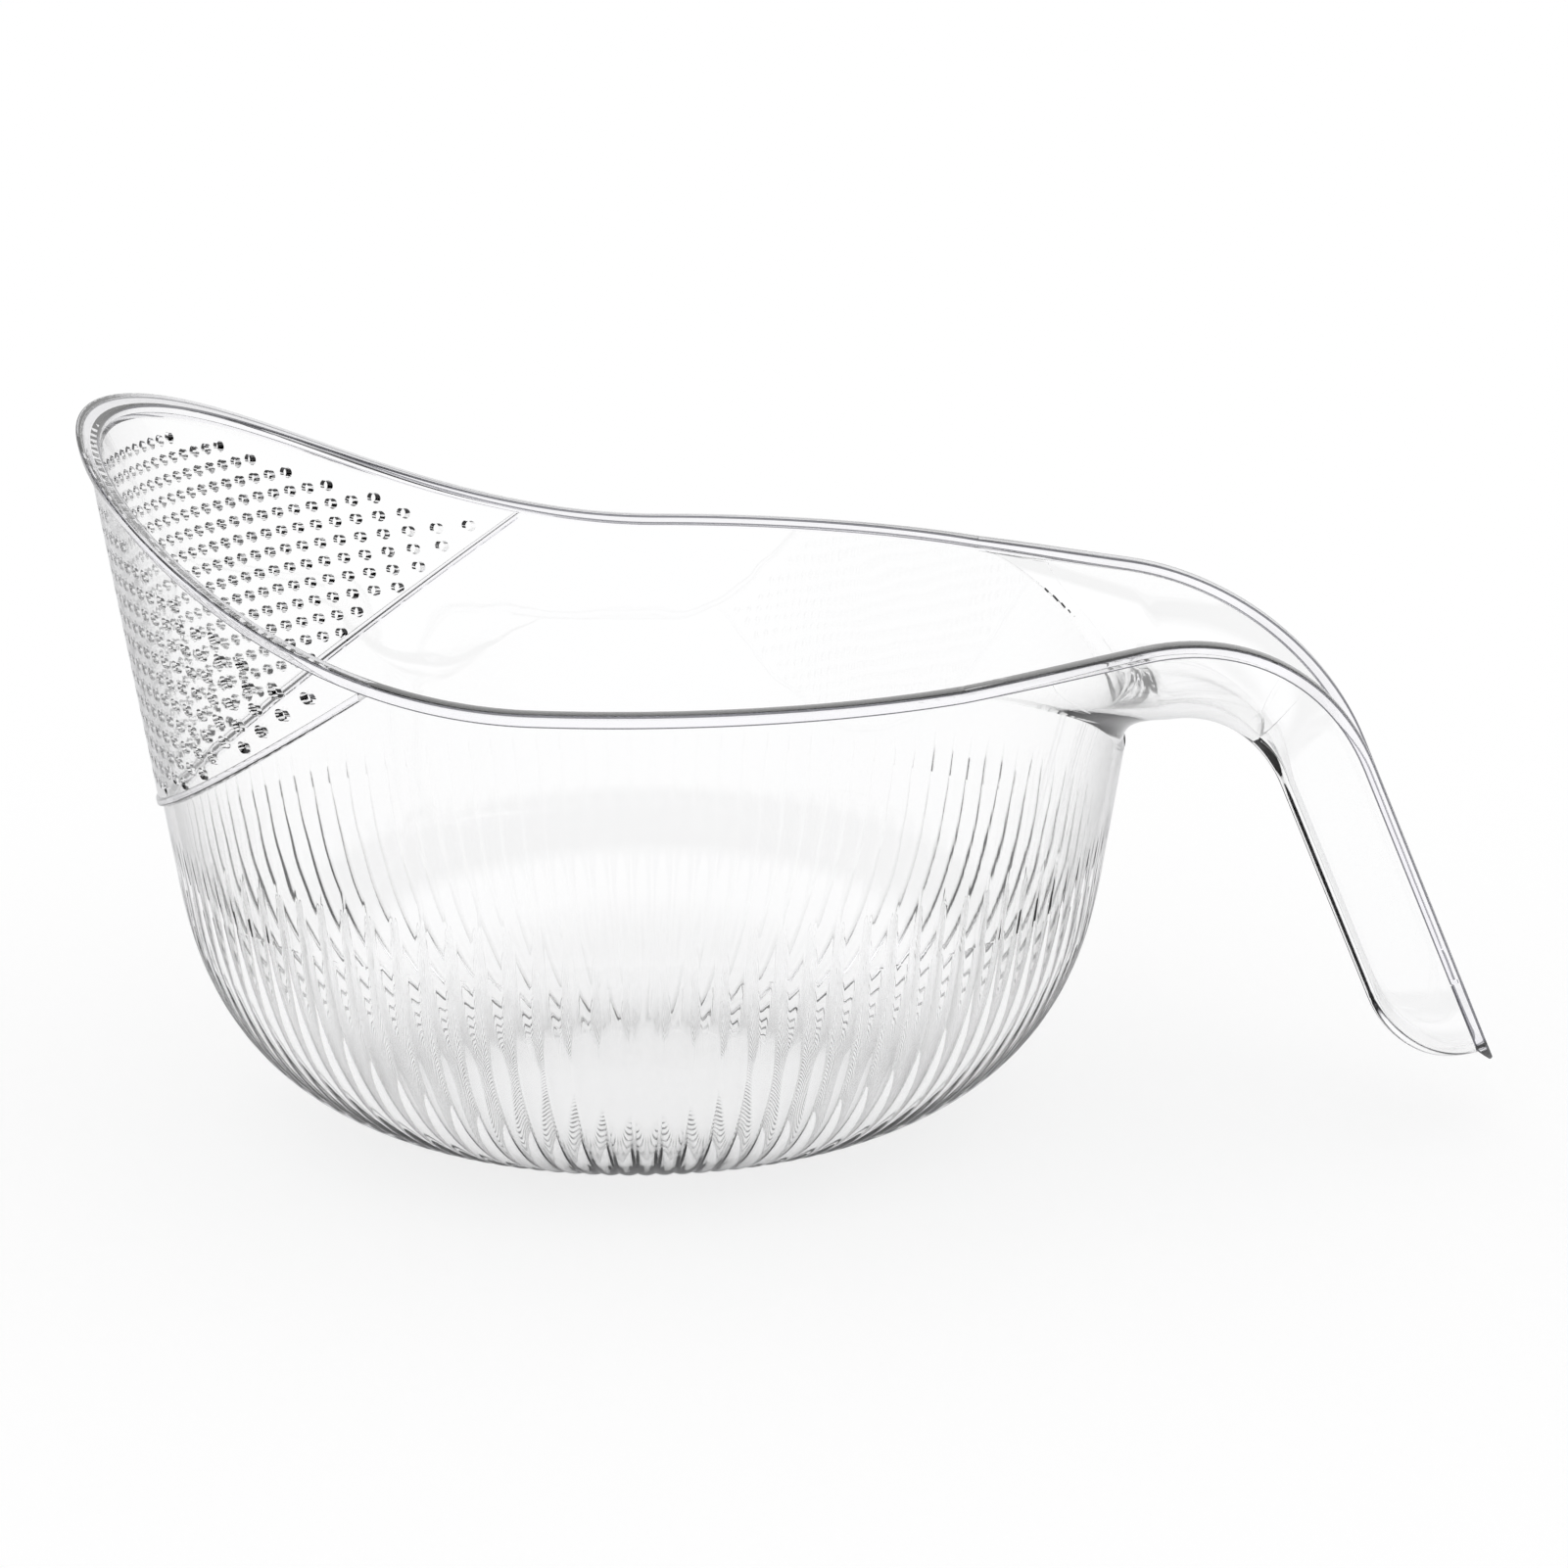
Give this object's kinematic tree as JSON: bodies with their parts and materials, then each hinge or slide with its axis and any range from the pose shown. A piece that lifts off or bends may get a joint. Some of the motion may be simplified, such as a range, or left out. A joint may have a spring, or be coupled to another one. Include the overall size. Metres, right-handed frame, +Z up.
{
  "type": "draining basket",
  "caption": "Round fluted clear bowl with a raised perforated spout for draining and a gutter handle that curves down to a pointed lip.",
  "frame": {"origin": "centre of the flat base that the bowl stands on", "axes": "+X towards the handle, -X towards the raised perforated spout, +Z up"},
  "size_m": [0.3508, 0.2566, 0.1775],
  "materials": {
    "clear_plastic": "clear polished styrene plastic, colourless",
    "clear_plastic_edge": "clear polished styrene plastic, seen thicker and darker at the beads"
  },
  "bodies": {
    "root": {"standing_base": "clear_plastic", "fluted_bottom": "clear_plastic", "upper_wall": "clear_plastic", "strainer_panel": "clear_plastic", "strainer_edge_bead": "clear_plastic_edge", "rim_bead": "clear_plastic_edge", "handle_root": "clear_plastic", "handle_gutter": "clear_plastic", "handle_end_cap": "clear_plastic", "handle_rail_left": "clear_plastic_edge", "handle_rail_right": "clear_plastic_edge", "hanging_lip": "clear_plastic_edge"}
  },
  "joints": []
}
